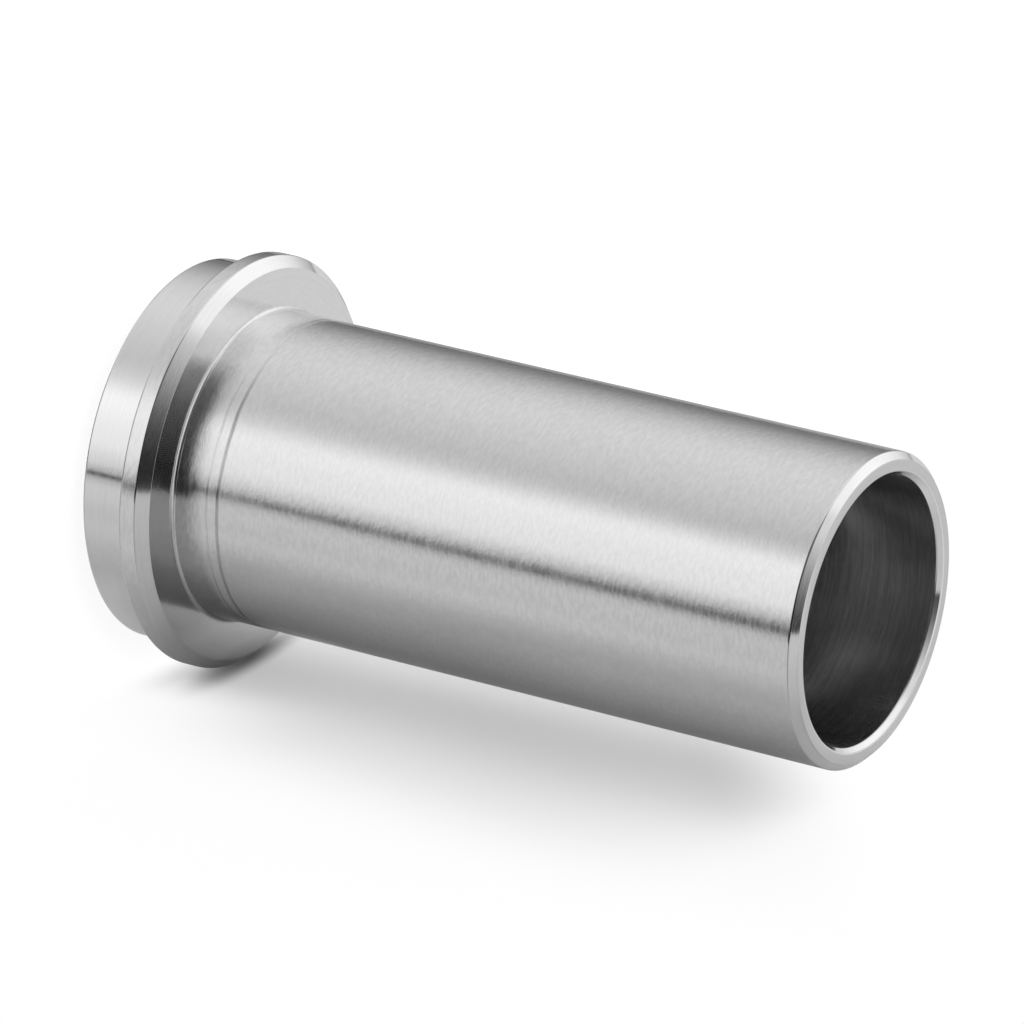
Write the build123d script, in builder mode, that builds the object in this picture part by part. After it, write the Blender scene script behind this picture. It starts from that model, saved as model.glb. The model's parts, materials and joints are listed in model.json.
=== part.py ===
"""Socket weld gland: the turned end piece of a threaded face seal joint.

A half inch tube is welded into the socket at the open end. The flat face at the other
end seals against the mating fitting, and a union nut that slides over the barrel draws
the gland up by the shoulder behind the collar. The whole gland is turned from one bar.

Frame: millimetres, origin at the centre of the sealing face, +Z along the bore towards
the socket mouth, so the gland stands on its sealing face.
"""
import os

from build123d import *

# Tube that is welded into the socket
tube_diameter = 12.7
tube_wall = 1.245

# Socket at the open end
tube_slip = 0.065  # gap all round the tube
socket_depth = 9.7
socket_wall = 1.135
mouth_chamfer = 0.28

# Barrel
overall_length = 37.6
end_chamfer = 0.36

# Head: a pilot disc that carries the sealing face, then the collar that the nut pulls on
pilot_length = 2.57
collar_length = 1.4
shoulder_width = 2.56  # ring outside the barrel that the nut bears on, chamfer included
collar_step = 0.83  # how far the collar stands out round the pilot
collar_chamfer = 0.53
root_fillet = 0.3
face_break = 0.12  # small break on the rim of the sealing face

# Radii and heights that follow from these
socket_radius = tube_diameter / 2 + tube_slip
passage_radius = tube_diameter / 2 - tube_wall  # the passage is as wide as the tube's own bore
barrel_radius = socket_radius + socket_wall
collar_radius = barrel_radius + shoulder_width
pilot_radius = collar_radius - collar_step
shoulder_height = pilot_length + collar_length


def rings(body, radius, height):
    """The circular edges of the body that have this radius at this height."""
    edges = body.edges().filter_by(GeomType.CIRCLE)
    tolerance = 1e-4
    return edges.filter_by(
        lambda edge: abs(edge.radius - radius) < tolerance and abs(edge.arc_center.Z - height) < tolerance
    )


with BuildPart() as gland:
    # Turned outside: the half section of pilot, collar and barrel, spun about the bore's axis
    with BuildSketch(Plane.XZ):
        with BuildLine():
            Polyline(
                (0, 0),
                (pilot_radius, 0),
                (pilot_radius, pilot_length),
                (collar_radius, pilot_length),
                (collar_radius, shoulder_height),
                (barrel_radius, shoulder_height),
                (barrel_radius, overall_length),
                (0, overall_length),
                close=True,
            )
        make_face()
    revolve(axis=Axis.Z)

    # Flow passage right through, opened out to the tube's socket at the far end
    with Locations((0, 0, overall_length)):
        CounterBoreHole(
            radius=passage_radius,
            counter_bore_radius=socket_radius,
            counter_bore_depth=socket_depth,
        )

    # Head edges
    chamfer(rings(gland, pilot_radius, 0), length=face_break)
    chamfer(rings(gland, collar_radius, shoulder_height), length=collar_chamfer)
    fillet(rings(gland, barrel_radius, shoulder_height), radius=root_fillet)

    # Open end: the outside bevel for the weld and the lead-in for the tube
    chamfer(rings(gland, barrel_radius, overall_length), length=end_chamfer)
    chamfer(rings(gland, socket_radius, overall_length), length=mouth_chamfer)

gland.part.label = "gland"

os.makedirs("parts", exist_ok=True)
export_step(gland.part, "parts/gland.step")
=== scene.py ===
import json
import math

import bpy
import numpy as np
from mathutils import Matrix, Vector


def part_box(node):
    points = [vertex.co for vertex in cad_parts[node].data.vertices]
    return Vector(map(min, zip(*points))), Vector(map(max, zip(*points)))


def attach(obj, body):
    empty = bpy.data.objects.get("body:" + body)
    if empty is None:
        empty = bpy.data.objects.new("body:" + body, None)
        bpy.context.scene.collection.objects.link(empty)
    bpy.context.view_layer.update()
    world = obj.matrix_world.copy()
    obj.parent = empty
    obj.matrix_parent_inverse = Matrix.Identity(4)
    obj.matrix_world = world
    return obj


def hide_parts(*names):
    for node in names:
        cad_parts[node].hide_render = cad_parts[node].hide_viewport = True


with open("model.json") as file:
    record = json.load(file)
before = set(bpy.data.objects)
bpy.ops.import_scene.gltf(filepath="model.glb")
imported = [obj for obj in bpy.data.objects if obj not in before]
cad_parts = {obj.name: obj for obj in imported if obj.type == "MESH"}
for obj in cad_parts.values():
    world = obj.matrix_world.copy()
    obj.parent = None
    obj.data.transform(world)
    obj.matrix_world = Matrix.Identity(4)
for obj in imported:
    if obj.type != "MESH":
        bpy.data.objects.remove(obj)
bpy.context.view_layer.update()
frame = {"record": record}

# A socket weld gland, turned from stainless steel. It stands on its sealing face at the origin
# with its bore along Z. Sizes are in millimetres until they go into Blender, in metres.
MM = 0.001

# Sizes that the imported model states
mounts = {mount["name"]: mount for mount in frame["record"]["mounts"]}
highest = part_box("gland")[1]
socket_radius = mounts["tube_socket"]["dims"]["r_mm"]
barrel_radius = mounts["barrel"]["dims"]["r_mm"]
shoulder_height = mounts["nut_shoulder"]["pos_m"][2] / MM
collar_radius = highest.x / MM
overall_length = highest.z / MM

# Sizes of the solid that the record doesn't state
passage_radius = 5.105
socket_depth = 9.7
end_chamfer = 0.36
pilot_radius = 9.28
pilot_length = 2.57
collar_chamfer = 0.53

# Slightly smaller than the solid's, to match the photograph's tones
face_break = 0.09
mouth_break = 0.25
root_fillet = 0.2

# The barrel's foot flares a little towards the shoulder
foot_flare = 0.055
foot_length = 1.15
foot_blend = 12.0  # radius that blends the flare into the barrel

# Radii of the fine edges, which are sharp on the solid
face_edge = 0.12
step_edge = 0.14
collar_edge = 0.12
shoulder_edge = 0.02
end_edge = 0.12
mouth_edge = 0.14
chamfer_foot = 0.15
inside_corner = 0.08

# Tool marks round the neck
tool_marks = ((5.85, 0.18, 0.004), (6.43, 0.22, 0.009))  # height, width and depth of each
# Painted shade in each tool mark, as a share of the grey
mark_painted_shades = (0.1, 0.36)  # how much darker each mark is

# The photographed gland lies on its side. This is up for it there.
lie_turn = math.radians(19.6)
table_up = Vector((-math.cos(lie_turn), -math.sin(lie_turn), 0))

segments_round = 288
arc_steps = 6

# Material of each stretch of the outline
BARREL, TURNED, FACED, BORED = range(4)


def outline():
    """Corners of the half section, each with its radius, height, rounding and the finish that
    follows it. The walk starts at the passage's rim on the sealing face and goes round the
    outside, so that the metal lies on its left."""
    shoulder_rim = collar_radius - collar_chamfer
    marks = []
    for height, width, depth in tool_marks:
        marks.append((barrel_radius, height - width / 2, width / 2, BARREL))
        marks.append((barrel_radius - depth, height, width / 2, BARREL))
        marks.append((barrel_radius, height + width / 2, width / 2, BARREL))
    return [
        (passage_radius, 0, inside_corner, TURNED),
        (pilot_radius - face_break, 0, face_edge, TURNED),
        (pilot_radius, face_break, face_edge, TURNED),
        (pilot_radius, pilot_length, inside_corner, TURNED),
        (collar_radius, pilot_length, step_edge, BARREL),
        (collar_radius, shoulder_height - collar_chamfer, collar_edge, TURNED),
        (shoulder_rim, shoulder_height, shoulder_edge, TURNED),
        (barrel_radius + foot_flare, shoulder_height, root_fillet, BARREL),
        (barrel_radius, shoulder_height + foot_length, foot_blend, BARREL),
        *marks,
        (barrel_radius, overall_length - end_chamfer, chamfer_foot, TURNED),
        (barrel_radius - end_chamfer, overall_length, end_edge, FACED),
        (socket_radius + mouth_break, overall_length, mouth_edge, TURNED),
        (socket_radius, overall_length - mouth_break, chamfer_foot, BORED),
        (socket_radius, overall_length - socket_depth, inside_corner, BORED),
        (passage_radius, overall_length - socket_depth, inside_corner, BORED),
    ]


def rounded(corners):
    """The outline with every corner turned into an arc: its points, their outward normals and
    the finish of the stretch after each."""
    places = [Vector(corner[:2]) for corner in corners]
    points = []
    normals = []
    finishes = []
    for index, (_, _, radius, finish) in enumerate(corners):
        before = (places[index] - places[index - 1]).normalized()
        after = (places[(index + 1) % len(places)] - places[index]).normalized()
        normal_before = Vector((before.y, -before.x))
        normal_after = Vector((after.y, -after.x))
        turn = -before.angle_signed(after)  # anticlockwise is positive
        outward = 1 if turn > 0 else -1
        middle = (normal_before + normal_after).normalized()
        centre = places[index] - outward * middle * radius / math.cos(turn / 2)
        for step in range(arc_steps + 1):
            normal = Matrix.Rotation(turn * step / arc_steps, 2) @ normal_before
            points.append(centre + outward * normal * radius)
            normals.append(normal)
            finishes.append(finish)
    return points, normals, finishes


def turned_mesh(name, corners):
    """The outline spun about Z, with the exact normals of the turned surface."""
    points, normals, finishes = rounded(corners)
    count = len(points)
    angles = np.arange(segments_round) * 2 * math.pi / segments_round
    cosines = np.cos(angles)[:, None]
    sines = np.sin(angles)[:, None]

    def spun(pairs, scale):
        """Pairs of radius and height, scaled and carried round the axis."""
        across = np.array([pair[0] for pair in pairs])[None, :] * scale
        along = np.array([pair[1] for pair in pairs])[None, :] * scale
        coordinates = [across * cosines, across * sines, along + 0 * cosines]
        return np.stack(coordinates, axis=-1).reshape(-1, 3)

    faces = []
    slots = []
    for turn in range(segments_round):
        here = turn * count
        there = (turn + 1) % segments_round * count
        for step in range(count):
            ahead = (step + 1) % count
            faces.append((here + step, there + step, there + ahead, here + ahead))
            slots.append(finishes[step])
    mesh = bpy.data.meshes.new(name)
    mesh.from_pydata(spun(points, MM), [], faces)
    mesh.polygons.foreach_set("use_smooth", [True] * len(faces))
    mesh.polygons.foreach_set("material_index", slots)
    mesh.normals_split_custom_set_from_vertices(spun(normals, 1))
    return mesh


class Shading:
    """A node tree with short calls for the nodes that the materials and the world use."""

    def __init__(self, tree):
        self.tree = tree
        tree.nodes.clear()

    def add(self, kind, settings=None, **inputs):
        """A new node. An input's name has underscores for spaces, or is the letter i and the
        input's number, and its value is a socket to link or a constant."""
        node = self.tree.nodes.new(kind)
        for key, value in (settings or {}).items():
            setattr(node, key, value)
        for key, value in inputs.items():
            socket = node.inputs[int(key[1:]) if key[1:].isdigit() else key.replace("_", " ")]
            if isinstance(value, bpy.types.NodeSocket):
                self.tree.links.new(value, socket)
            else:
                socket.default_value = value
        return node

    def maths(self, operation, *values):
        """A Math node's result."""
        inputs = {f"i{index}": value for index, value in enumerate(values)}
        return self.add("ShaderNodeMath", {"operation": operation}, **inputs).outputs[0]

    def vector(self, operation, *values):
        """A Vector Math node."""
        inputs = {f"i{index}": value for index, value in enumerate(values)}
        return self.add("ShaderNodeVectorMath", {"operation": operation}, **inputs)

    def along(self, place, direction):
        """How far a place, or a ray's direction, reaches along another direction."""
        return self.vector("DOT_PRODUCT", place, direction).outputs["Value"]

    def in_mm(self, place):
        """A place in metres, as millimetres."""
        scaled = self.vector("SCALE", place)
        scaled.inputs["Scale"].default_value = 1 / MM
        return scaled.outputs[0]

    def step(self, value, low, high, start=0.0, end=1.0):
        """Goes smoothly from start to end while value goes from low to high."""
        settings = {"interpolation_type": "SMOOTHSTEP"}
        inputs = {"i0": value, "i1": low, "i2": high, "i3": start, "i4": end}
        return self.add("ShaderNodeMapRange", settings, **inputs).outputs[0]

    def product(self, first, *others):
        """All the values multiplied."""
        for other in others:
            first = self.maths("MULTIPLY", first, other)
        return first

    def changed(self, value, where, share):
        """The value, unchanged where `where` is 0 and 1 + share times as much where it is 1."""
        return self.maths("MULTIPLY", value, self.maths("MULTIPLY_ADD", where, share, 1.0))

    def mix(self, factor, first, second):
        """first where the factor is 0, second where it is 1, for plain numbers."""
        inputs = {"i0": factor, "i2": first, "i3": second}
        return self.add("ShaderNodeMix", {"data_type": "FLOAT"}, **inputs).outputs[0]

    def mix_shaders(self, factor, first, second):
        """first where the factor is 0, second where it is 1, for shaders."""
        return self.add("ShaderNodeMixShader", i0=factor, i1=first, i2=second).outputs[0]

    def grey(self, tone):
        """The grey colour of a tone."""
        return self.add("ShaderNodeCombineColor", Red=tone, Green=tone, Blue=tone).outputs[0]


def new_material(name):
    """An empty material, and its shading."""
    material = bpy.data.materials.new(name)
    material.use_nodes = True
    return material, Shading(material.node_tree)


# Grain of the steel: cells in a radian round the axis, and in a mm along the outline
grain_round = 18.0
grain_along = 5.5
line_drift = 1.8  # cells in a radian, as the turning lines change round the axis
cloud_scale = 0.45  # cells in a mm
brushing = 0.6
brushing_turn = 0.25  # of a full turn, so that the highlight runs across the turning lines


def steel(name, grey, roughness, grain_tone, grain_depth, line_tone, line_depth, line_pitch, marks=()):
    """Bare stainless steel with the fine lines that turning leaves round the axis, a grain that breaks
    them up, and painted shade in the tool marks, which fades out on the side that lies on top, where
    the light falls. The depths and the pitch are in mm, and the tones are shares of the grey."""
    material, shading = new_material(name)
    in_mm = shading.in_mm(shading.add("ShaderNodeTexCoord").outputs["Object"])

    # Place along the outline, which the turning lines follow, with a slow drift round the axis
    split = shading.add("ShaderNodeSeparateXYZ", Vector=in_mm).outputs
    flat = shading.add("ShaderNodeCombineXYZ", X=split["X"], Y=split["Y"]).outputs[0]
    radius = shading.vector("LENGTH", flat).outputs["Value"]
    along = shading.maths("SUBTRACT", split["Z"], radius)
    around = shading.vector("NORMALIZE", flat).outputs[0]
    drift = shading.add("ShaderNodeSeparateXYZ", Vector=around).outputs
    lines_at = shading.add("ShaderNodeCombineXYZ", X=drift["X"], Y=drift["Y"], Z=along).outputs[0]

    def noise(at, stretch, detail):
        """Noise with so many cells in a unit of each axis."""
        stretched = shading.vector("MULTIPLY", at, stretch).outputs[0]
        inputs = {"Vector": stretched, "Scale": 1.0, "Detail": detail, "Roughness": 0.6}
        return shading.add("ShaderNodeTexNoise", **inputs).outputs[0]

    lines = noise(lines_at, (line_drift, line_drift, 1 / line_pitch), 3.0)
    grain = noise(lines_at, (grain_round, grain_round, grain_along), 3.0)
    cloud = noise(in_mm, (cloud_scale, cloud_scale, cloud_scale), 2.0)

    # Roughness and tone wander a little with the grain
    wander = shading.product(
        shading.step(grain, 0.25, 0.75, roughness * 0.9, roughness * 1.12),
        shading.step(cloud, 0.3, 0.7, 0.95, 1.05),
    )
    tone = shading.product(
        shading.step(grain, 0.25, 0.75, grey * (1 - grain_tone), grey * (1 + grain_tone)),
        shading.step(lines, 0.25, 0.75, 1 - line_tone, 1 + line_tone),
    )
    # The marks' painted shade fades out on the side that lies on top, where the light falls
    on_top = shading.along(around, table_up)
    left = shading.step(on_top, 0.65, 0.93, 1.0, 0.05)
    for (height, width, _), darkness in marks:
        off_mark = shading.maths("ABSOLUTE", shading.maths("SUBTRACT", split["Z"], height))
        painted_mark_shade = shading.step(off_mark, width * 0.2, width * 0.6, -darkness, 0.0)
        tone = shading.changed(tone, painted_mark_shade, left)

    grained = shading.add("ShaderNodeBump", Height=grain, Strength=1.0, Distance=grain_depth * MM)
    lined = shading.add("ShaderNodeBump", Height=lines, Strength=1.0, Distance=line_depth * MM)
    shading.tree.links.new(grained.outputs[0], lined.inputs["Normal"])

    tangent = shading.add("ShaderNodeTangent", {"direction_type": "RADIAL", "axis": "Z"}).outputs[0]
    shader = shading.add("ShaderNodeBsdfPrincipled", Base_Color=shading.grey(tone))
    shader.inputs["Metallic"].default_value = 1.0
    shader.inputs["Anisotropic"].default_value = brushing
    shader.inputs["Anisotropic Rotation"].default_value = brushing_turn
    shading.tree.links.new(wander, shader.inputs["Roughness"])
    shading.tree.links.new(lined.outputs[0], shader.inputs["Normal"])
    shading.tree.links.new(tangent, shader.inputs["Tangent"])
    shading.add("ShaderNodeOutputMaterial", Surface=shader.outputs[0])
    return material


# The gland, as the photograph shows it. The turned and the faced steel differ in grey and
# roughness only.
fine_turning = {
    "grain_tone": 0.015,
    "grain_depth": 0.001,
    "line_tone": 0.02,
    "line_depth": 0.0006,
    "line_pitch": 0.09,
}
barrel_finish = {
    "grain_tone": 0.055,
    "grain_depth": 0.0045,
    "line_tone": 0.01,
    "line_depth": 0.0003,
    "line_pitch": 0.09,
    "marks": tuple(zip(tool_marks, mark_painted_shades)),
}
bore_finish = {
    "grain_tone": 0.0,
    "grain_depth": 0.0,
    "line_tone": 0.15,
    "line_depth": 0.0003,
    "line_pitch": 0.13,
}
gland = bpy.data.objects.new("gland_turned", turned_mesh("gland_turned", outline()))
bpy.context.scene.collection.objects.link(gland)
for finish in (
    steel("barrel_steel", grey=0.72, roughness=0.18, **barrel_finish),
    steel("turned_steel", grey=0.75, roughness=0.12, **fine_turning),
    steel("faced_steel", grey=0.64, roughness=0.14, **fine_turning),
    steel("bored_steel", grey=0.66, roughness=0.22, **bore_finish),
):
    gland.data.materials.append(finish)
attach(gland, "root")
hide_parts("gland")

# The photograph's camera. It looks along +Y and down, and is rolled so that the gland lies on
# its side in the picture.
view_drop = 28.314
view_roll = 103.523
camera_place = (-0.604, -365.476, 214.845)
camera_data = bpy.data.cameras.new("camera")
camera_data.lens = 309.94
camera_data.sensor_width = 36
camera_data.clip_start = 0.02
camera = bpy.data.objects.new("camera", camera_data)
dropped = Matrix.Rotation(math.radians(90 - view_drop), 4, "X")
look = dropped @ Matrix.Rotation(math.radians(view_roll), 4, "Z")
camera.matrix_world = Matrix.Translation(Vector(camera_place) * MM) @ look
bpy.context.scene.collection.objects.link(camera)
bpy.context.scene.camera = camera

# The table that the collar lies on in the photograph, and the studio's lights, lean a little
# from the gland's own up, towards its open end
table_lean = math.radians(2.2)
lights_lean = math.radians(4.36)
along_bore = Vector((0, 0, 1))
table_normal = math.cos(table_lean) * table_up - math.sin(table_lean) * along_bore
up = math.cos(lights_lean) * table_up - math.sin(lights_lean) * along_bore
forward = look.to_3x3() @ Vector((0, 0, -1))
right = forward.cross(up).normalized()
far = up.cross(right)

# Sides of the stage's sheets, in metres
floor_side = 3.0
table_side = 1.2

# The painted contact shadow where the collar touches the table: where its middle is, how much each
# way off it counts, and how dark it gets
contact_shadow_height = 3.5
contact_shadow_side = 0.3
height_counts = 2.8
side_counts = 0.5
contact_shadow_darkness = 0.84


def white_surface(shading, glow, lit_share):
    """A white that glows a little, and gets the rest from light that falls on it, so it keeps
    the object's shadow."""
    lit = shading.add("ShaderNodeBsdfDiffuse", Color=(lit_share, lit_share, lit_share, 1))
    own = shading.add("ShaderNodeEmission", Color=(1, 1, 1, 1), Strength=glow)
    return shading.add("ShaderNodeAddShader", i0=lit.outputs[0], i1=own.outputs[0]).outputs[0]


def floor_white():
    """The floor's white. It glows most on the side that the photograph's camera sees beside the
    head, where the photograph has no shadow."""
    material, shading = new_material("floor_white")
    place = shading.in_mm(shading.add("ShaderNodeNewGeometry").outputs["Position"])
    below = shading.along(place, -table_up)
    seen = white_surface(shading, glow=0.8, lit_share=0.5)
    hidden = white_surface(shading, glow=0.4, lit_share=1.0)
    surface = shading.mix_shaders(shading.step(below, 10.5, 14.0), seen, hidden)
    shading.add("ShaderNodeOutputMaterial", Surface=surface)
    return material


def shadow_on_table(shading, height, far_side):
    """How much of the gland's shadow the table keeps. It fades out before the floor, past the
    open end, and in front of the head."""
    in_front = shading.step(far_side, -2.5, -8.0)
    beside_head = shading.product(shading.step(height, 13.0, 2.5), in_front)
    by_neck = shading.product(shading.step(height, 28.0, 8.0), shading.step(far_side, 1.5, -8.0))
    near_side = shading.maths("MULTIPLY_ADD", height, 0.25, far_side)
    past_end = shading.maths("MULTIPLY_ADD", far_side, 0.7, height)
    shadow = shading.maths("MULTIPLY_ADD", beside_head, -0.85, 1.0)
    return shading.product(
        shading.changed(shadow, by_neck, -0.27),
        shading.step(height, 0.5, 2.8),
        shading.step(near_side, -14.5, -4.5, 0.15, 1.0),
        shading.step(past_end, 38.0, 29.0),
        shading.step(past_end, 14.0, 30.0, 1.0, 0.88),
    )


def painted_contact_shadow(shading, height, far_side):
    """A painted contact shadow where the collar touches the table: a narrow dark patch with soft
    edges.
    """
    rim_height = shading.maths("MULTIPLY_ADD", far_side, 0.13, height)
    off_height = shading.maths("SUBTRACT", rim_height, contact_shadow_height)
    off_side = shading.maths("SUBTRACT", far_side, contact_shadow_side)
    off_touch = shading.add(
        "ShaderNodeCombineXYZ",
        X=shading.maths("MULTIPLY", off_height, height_counts),
        Y=shading.maths("MULTIPLY", off_side, side_counts),
    )
    off_touch = shading.vector("LENGTH", off_touch.outputs[0]).outputs["Value"]
    return shading.step(off_touch, 4.2, 0.5, 0.0, contact_shadow_darkness)


def mirrored_painted_tone(shading, height, far_side):
    """The table's grey as the metal mirrors it, with painted light and shade: darker beside the head
    and where the metal mirrors itself first, lighter behind the collar and beside the shadow, and both
    by the open end.
    """
    # Painted shade, deepest beside the head and lighter further along the gland
    tone = shading.step(height, -2.5, 1.0, 0.85, 0.67)
    tone = shading.maths("ADD", tone, shading.step(height, 2.0, 5.5, 0.0, 0.12))
    tone = shading.maths("ADD", tone, shading.step(height, 15.0, 26.0, 0.0, 0.09))
    # Painted light behind the collar
    painted_light_behind_collar = shading.product(
        shading.step(height, 4.8, 6.0),
        shading.step(height, 9.5, 7.5),
        shading.step(far_side, -1.5, 0.7),
    )
    tone = shading.maths("MULTIPLY_ADD", painted_light_behind_collar, 0.26, tone)
    # Painted light and shade by the open end
    painted_light_and_shade_by_end = shading.product(
        shading.step(far_side, -6.5, 2.5, -0.27, 0.36),
        shading.step(height, 32.0, 38.0),
        shading.step(height, 46.0, 42.0, 0.3, 1.0),
    )
    tone = shading.changed(tone, painted_light_and_shade_by_end, 1.0)
    # Painted light beside the shadow
    painted_light_beside_shadow = shading.product(
        shading.step(far_side, -11.0, -8.0),
        shading.step(far_side, -1.5, -5.0),
    )
    tone = shading.changed(tone, painted_light_beside_shadow, 0.16)
    # Painted shade where the metal mirrors itself first
    bounces = shading.add("ShaderNodeLightPath").outputs["Ray Depth"]
    painted_shade_on_bounce = shading.maths("GREATER_THAN", bounces, 1.5)
    return shading.changed(tone, painted_shade_on_bounce, -0.42)


def table_white():
    """The white of the photographed table, with the gland's soft shadow on it and a painted contact
    shadow by the collar. The metal mirrors the part of it beside the gland, with painted light and
    shade in its grey, and it can't be seen from below."""
    material, shading = new_material("table_white")
    place = shading.in_mm(shading.add("ShaderNodeNewGeometry").outputs["Position"])
    far_side = shading.along(place, table_up.cross(along_bore))
    height = shading.add("ShaderNodeSeparateXYZ", Vector=place).outputs["Z"]

    # What the camera sees
    plain = shading.add("ShaderNodeEmission", Color=(1, 1, 1, 1), Strength=1.0).outputs[0]
    shaded = white_surface(shading, glow=0.31, lit_share=0.97)
    # Painted contact shadow: black where the collar touches the table
    dark = shading.add("ShaderNodeEmission", Strength=0.0).outputs[0]
    shaded = shading.mix_shaders(painted_contact_shadow(shading, height, far_side), shaded, dark)
    seen = shading.mix_shaders(shadow_on_table(shading, height, far_side), plain, shaded)

    # What the metal mirrors, beside the gland only, with painted light and shade in its grey
    off_middle = shading.maths("ABSOLUTE", shading.maths("SUBTRACT", height, overall_length / 2))
    beside = shading.product(
        shading.step(shading.maths("ABSOLUTE", far_side), 18.0, 6.0),
        shading.step(off_middle, 60.0, 30.0),
    )
    clear = shading.add("ShaderNodeBsdfTransparent").outputs[0]
    tone = shading.grey(mirrored_painted_tone(shading, height, far_side))
    table = shading.add("ShaderNodeBsdfDiffuse", Color=tone).outputs[0]
    mirrored = shading.mix_shaders(beside, clear, table)

    in_metal = shading.add("ShaderNodeLightPath").outputs["Is Glossy Ray"]
    backfacing = shading.add("ShaderNodeNewGeometry").outputs["Backfacing"]
    seen = shading.mix_shaders(in_metal, seen, mirrored)
    seen = shading.mix_shaders(backfacing, seen, clear)
    shading.add("ShaderNodeOutputMaterial", Surface=seen)
    return material


def stage_sheet(name, middle, normal, side, material, in_metal):
    """A square stage surface with its side in metres. It takes no light from the object, and
    metal mirrors it or not."""
    half = side / 2
    mesh = bpy.data.meshes.new(name)
    corners = [(-half, -half, 0), (half, -half, 0), (half, half, 0), (-half, half, 0)]
    mesh.from_pydata(corners, [], [(0, 1, 2, 3)])
    mesh.materials.append(material)
    sheet = bpy.data.objects.new(name, mesh)
    turned = normal.to_track_quat("Z", "Y").to_matrix().to_4x4()
    sheet.matrix_world = Matrix.Translation(middle * MM) @ turned
    bpy.context.scene.collection.objects.link(sheet)
    sheet.visible_glossy = in_metal
    sheet.visible_diffuse = False
    sheet.visible_shadow = False


touch = -collar_radius * table_up + (shoulder_height - collar_chamfer) * along_bore
stage_sheet("floor", Vector((0, 0, 0)), along_bore, floor_side, floor_white(), False)
stage_sheet("table", touch, table_normal, table_side, table_white(), True)

# Strengths in the studio, with white as 1
soft_box_strength = 0.68
brightest = 1.25
gap_strength = 0.02
horizon_blur = 0.008  # half of the rise over which the edges of the gap and the table fade


def lights(shading, rise, depth, across, at_back):
    """The studio above the horizon: light that grows towards the top, darkness where the camera
    stands, a soft box at the right whose near side brightens outwards, and a pale panel at the
    left."""
    growth = shading.maths("MULTIPLY_ADD", across, 0.1, shading.step(depth, 0.0, 0.7, 0.86, 1.05))
    light = shading.maths("MULTIPLY_ADD", shading.maths("MAXIMUM", rise, 0.0), growth, 0.03)
    light = shading.maths("MULTIPLY_ADD", at_back, -0.05, light)
    light = shading.maths("MAXIMUM", light, shading.maths("MULTIPLY", at_back, 0.22))
    by_camera = shading.product(shading.step(across, 0.55, 0.25), shading.step(depth, -0.15, -0.55))
    light = shading.changed(light, by_camera, -0.8)

    low_rise = shading.maths("ADD", rise, shading.step(across, 0.5, 0.75, 0.0, 0.3))
    soft_box = shading.product(
        shading.step(across, 0.2, 0.6),
        shading.step(depth, -0.56, -0.2),
        shading.step(depth, -0.2, 0.4, 0.8, 1.0),
        shading.step(rise, 0.95, 0.6),
        shading.step(low_rise, 0.04, 0.14),
    )
    soft_box = shading.changed(soft_box, at_back, -0.12)
    light = shading.maths("MULTIPLY_ADD", soft_box, soft_box_strength, light)
    box_side = shading.product(shading.step(across, 0.42, 0.5), shading.step(depth, -0.25, -0.5))
    light = shading.mix(box_side, light, shading.step(across, 0.48, 0.785, 0.0, 1.05))

    panel_foot = shading.step(across, -0.885, -0.865, 1.0, 0.38)
    panel = shading.product(
        shading.step(across, -0.35, -0.6),
        shading.step(rise, 0.83, 0.54),
        shading.step(rise, -0.05, 0.2, panel_foot, 1.0),
    )
    light = shading.maths("ADD", panel, light)
    return shading.maths("MINIMUM", light, brightest)


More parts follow.
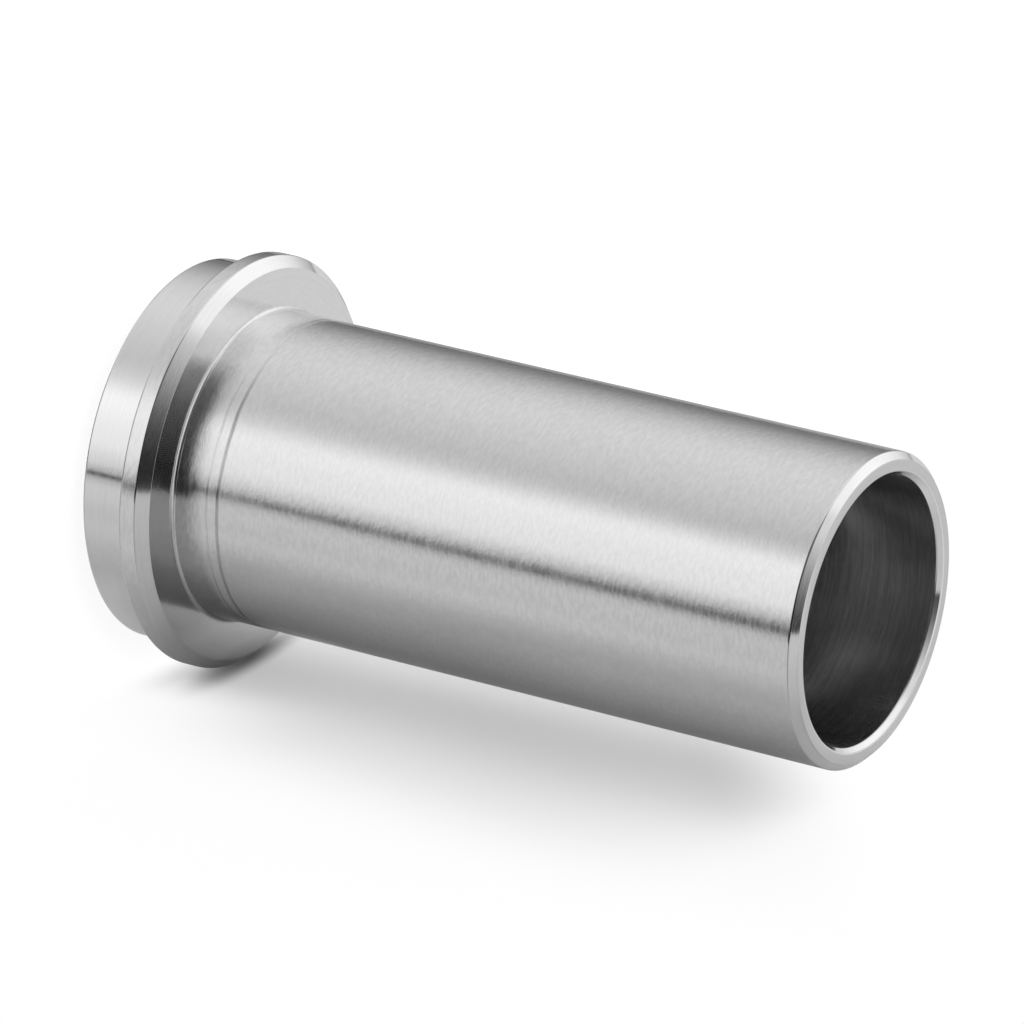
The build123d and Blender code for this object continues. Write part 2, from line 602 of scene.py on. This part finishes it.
def table_beyond(shading, ray, rise, depth, across, at_back, over_edge):
    """The studio below the horizon: the pale table further off, in the gland's own shade."""
    into_shade = -0.1 * right + 0.6 * far - 0.79 * up
    table = shading.step(shading.along(ray, into_shade), 0.1, 1.15, 0.7, 0.3)
    table = shading.maths("ADD", table, shading.step(across, 0.5, 0.8, 0.0, 0.17))
    back_table = shading.product(
        at_back,
        shading.step(rise, -0.4, -0.15),
        shading.step(across, 0.05, 0.2, -0.08, 0.2),
    )
    table = shading.maths("ADD", back_table, table)
    in_middle = shading.step(shading.maths("ABSOLUTE", across), 0.5, 0.25)
    front_table = shading.product(shading.step(depth, -0.3, -0.75), in_middle)
    table = shading.changed(table, front_table, -0.5)
    at_left = shading.step(across, -0.5, -0.75)
    left_table = shading.product(
        at_left,
        shading.step(across, -0.89, -0.84, 0.12, -0.12),
        shading.step(over_edge, -0.5, -0.3),
    )
    table = shading.changed(table, left_table, 1.0)
    left_edge = shading.product(at_left, shading.step(over_edge, -0.1, -0.01, 0.0, -0.25))
    return shading.changed(table, left_edge, 1.0)


def studio():
    """The light that falls on the gland and that it mirrors, set to the photograph's own up. A
    thin dark gap along the horizon parts the lights from the table. The steps go by how far a
    ray reaches up, to the far side and to the right: its rise, depth and across."""
    world = bpy.data.worlds.new("studio")
    world.use_nodes = True
    shading = Shading(world.node_tree)
    ray = shading.add("ShaderNodeTexCoord").outputs["Generated"]
    rise = shading.along(ray, up)
    depth = shading.along(ray, far)
    across = shading.along(ray, right)
    at_back = shading.step(depth, 0.7, 0.92)

    # The table's edge dips towards the camera, and the gap lies over it
    edge = shading.maths("MINIMUM", shading.maths("MULTIPLY_ADD", depth, 0.36, 0.06), 0.0)
    edge = shading.maths("MULTIPLY_ADD", at_back, shading.step(across, -0.1, 0.4, 0.045, 0.08), edge)
    gap = shading.product(
        shading.step(across, 0.3, -0.3),
        shading.step(across, -0.883, -0.873, 0.031, 0.115),
    )
    over_edge = shading.maths("SUBTRACT", rise, edge)
    over_gap = shading.maths("SUBTRACT", rise, shading.maths("ADD", edge, gap))
    light = lights(shading, rise, depth, across, at_back)
    table = table_beyond(shading, ray, rise, depth, across, at_back, over_edge)
    in_gap = shading.step(over_gap, horizon_blur, -horizon_blur)
    on_table = shading.step(over_edge, horizon_blur, -horizon_blur)
    light = shading.mix(in_gap, light, gap_strength)
    light = shading.mix(on_table, light, table)

    # Less light comes from the left and the far side
    left_back = shading.product(
        shading.step(across, -0.4, -0.65),
        shading.step(depth, -0.33, -0.15),
        shading.step(rise, 0.8, 0.5),
        shading.step(rise, -0.55, -0.3),
        shading.step(rise, -0.25, 0.0, 0.5, 1.0),
    )
    light = shading.changed(light, left_back, -0.5)
    background = shading.add("ShaderNodeBackground", Color=(1, 1, 1, 1), Strength=light)
    shading.add("ShaderNodeOutputWorld", Surface=background.outputs[0])
    bpy.context.scene.world = world


studio()
bpy.context.scene.view_settings.view_transform = "Standard"
